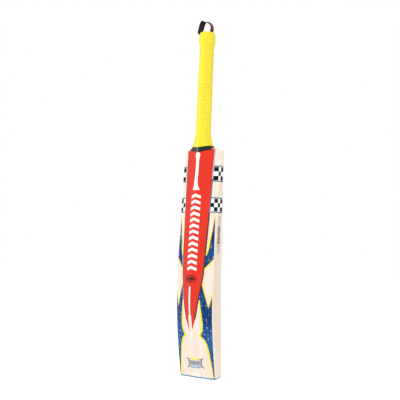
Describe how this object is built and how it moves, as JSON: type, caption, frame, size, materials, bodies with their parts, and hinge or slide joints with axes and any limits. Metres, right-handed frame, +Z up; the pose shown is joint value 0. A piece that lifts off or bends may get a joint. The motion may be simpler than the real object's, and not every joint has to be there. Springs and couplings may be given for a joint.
{
  "type": "cricket bat",
  "caption": "Cricket bat with a ridged, bowed willow blade, a spliced cane handle in a ribbed rubber grip, a swinging hang loop, a rubber toe guard and vinyl stickers.",
  "frame": {"origin": "on the handle's axis, 2 mm above the heel of the toe, which is almost the lowest point", "axes": "+Z up the handle's axis, +Y towards the striking face, +X across the blade, to the right as seen from behind"},
  "size_m": [0.1086, 0.0779, 0.8865],
  "materials": {
    "willow": "satin",
    "cane": "satin",
    "spring_rubber": "matte",
    "twine": "matte",
    "grip_rubber": "satin",
    "tape": "gloss",
    "loop_strap": "matte",
    "toe_rubber": "satin",
    "spine_vinyl": "gloss",
    "flank_vinyl": "gloss",
    "chequer_vinyl": "gloss",
    "badge_vinyl": "gloss",
    "label_vinyl": "gloss",
    "edge_vinyl": "gloss"
  },
  "bodies": {
    "bat": {"blade": "willow", "cane_section_1": "cane", "cane_section_2": "cane", "cane_section_3": "cane", "cane_section_4": "cane", "chequer_wrap_lower_left": "chequer_vinyl", "chequer_wrap_lower_right": "chequer_vinyl", "chequer_wrap_upper_left": "chequer_vinyl", "chequer_wrap_upper_right": "chequer_vinyl", "edge_strip": "edge_vinyl", "flank_panel_lower_left": "flank_vinyl", "flank_panel_lower_right": "flank_vinyl", "flank_panel_upper_left": "flank_vinyl", "flank_panel_upper_right": "flank_vinyl", "grip": "grip_rubber", "loop_tail_left": "loop_strap", "loop_tail_right": "loop_strap", "rubber_spring_1": "spring_rubber", "rubber_spring_2": "spring_rubber", "rubber_spring_3": "spring_rubber", "shoulder_tape": "tape", "spine_sticker": "spine_vinyl", "toe_badge": "badge_vinyl", "toe_guard": "toe_rubber", "toe_label": "label_vinyl", "twine_binding": "twine"},
    "loop": {"hang_loop": "loop_strap"}
  },
  "joints": [
    {"name": "loop_swing", "type": "hinge", "parent": "bat", "child": "loop", "pos_m": [0, 0, 0.8541], "axis": [1, 0, 0], "range_deg": [-75, 75]}
  ]
}
